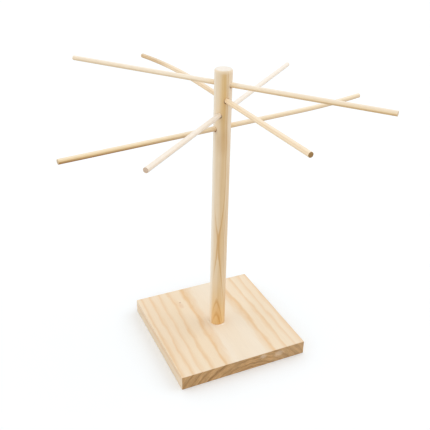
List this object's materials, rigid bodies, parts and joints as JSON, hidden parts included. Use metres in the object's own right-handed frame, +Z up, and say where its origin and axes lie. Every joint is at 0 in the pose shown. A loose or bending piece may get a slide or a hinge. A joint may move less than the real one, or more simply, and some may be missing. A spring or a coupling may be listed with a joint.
{
  "type": "pasta drying rack",
  "caption": "Free-standing wooden rack for drying fresh pasta: a square board, a round post and loose rods pushed crosswise through the post's top, spread like spokes.",
  "frame": {"origin": "middle of the board's underside, on the post's axis, on the surface that the rack stands on", "axes": "+Z up along the post; +Y along the board's grain, from its front end grain to its back; +X to the right"},
  "size_m": [0.4751, 0.4745, 0.426],
  "materials": {
    "board_pine": "bare planed and sanded pine",
    "post_pine": "bare sanded pine dowel",
    "rod_pine": "bare sanded pale dowel",
    "screw_steel": "zinc plated steel"
  },
  "bodies": {
    "stand": {"base_board": "board_pine", "post": "post_pine", "base_screw": "screw_steel"},
    "top_rod": {"top_rod": "rod_pine"},
    "second_rod": {"second_rod": "rod_pine"},
    "third_rod": {"third_rod": "rod_pine"},
    "lowest_rod": {"lowest_rod": "rod_pine"}
  },
  "joints": [
    {"name": "top_rod_slide", "type": "slide", "parent": "stand", "child": "top_rod", "axis": [-0.6157, 0.788, 0], "range_m": [-0.2595, 0.2435]},
    {"name": "second_rod_slide", "type": "slide", "parent": "stand", "child": "second_rod", "axis": [-0.0332, 0.9995, 0], "range_m": [-0.055, 0.2217]},
    {"name": "third_rod_slide", "type": "slide", "parent": "stand", "child": "third_rod", "axis": [0.7536, 0.6574, 0], "range_m": [-0.2874, 0.2216]},
    {"name": "lowest_rod_slide", "type": "slide", "parent": "stand", "child": "lowest_rod", "axis": [0.9903, 0.1392, 0], "range_m": [-0.115, 0.2468]}
  ]
}
